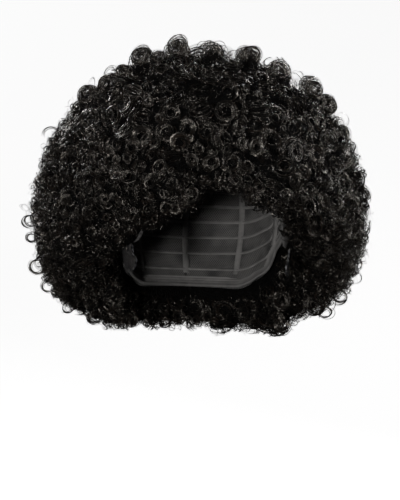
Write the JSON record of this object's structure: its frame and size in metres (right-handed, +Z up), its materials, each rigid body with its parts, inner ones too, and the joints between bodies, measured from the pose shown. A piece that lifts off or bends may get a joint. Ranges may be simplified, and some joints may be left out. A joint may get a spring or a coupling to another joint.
{
  "type": "afro wig",
  "caption": "Round afro wig of tight black curls over a stretch cap, open at the face and neck, with a notched fringe and short flat sideburns.",
  "frame": {"origin": "the top of the wearer's head, where it meets the inside of the cap", "axes": "+Z up, face opening towards -Y, wearer's left towards +X"},
  "size_m": [0.3068, 0.2872, 0.2625],
  "materials": {
    "hair": "glossy black curled synthetic fibre",
    "sideburn": "short straight black synthetic fibre",
    "cap_net": "charcoal stretch net",
    "cap_band": "black woven elastic"
  },
  "bodies": {
    "root": {"cap_net": "cap_net", "cap_band": "cap_band", "hair_crown": "hair", "hair_fringe": "hair", "hair_right": "hair", "hair_left": "hair", "hair_back": "hair", "hair_nape": "hair", "sideburn_left": "sideburn", "sideburn_right": "sideburn"}
  },
  "joints": []
}
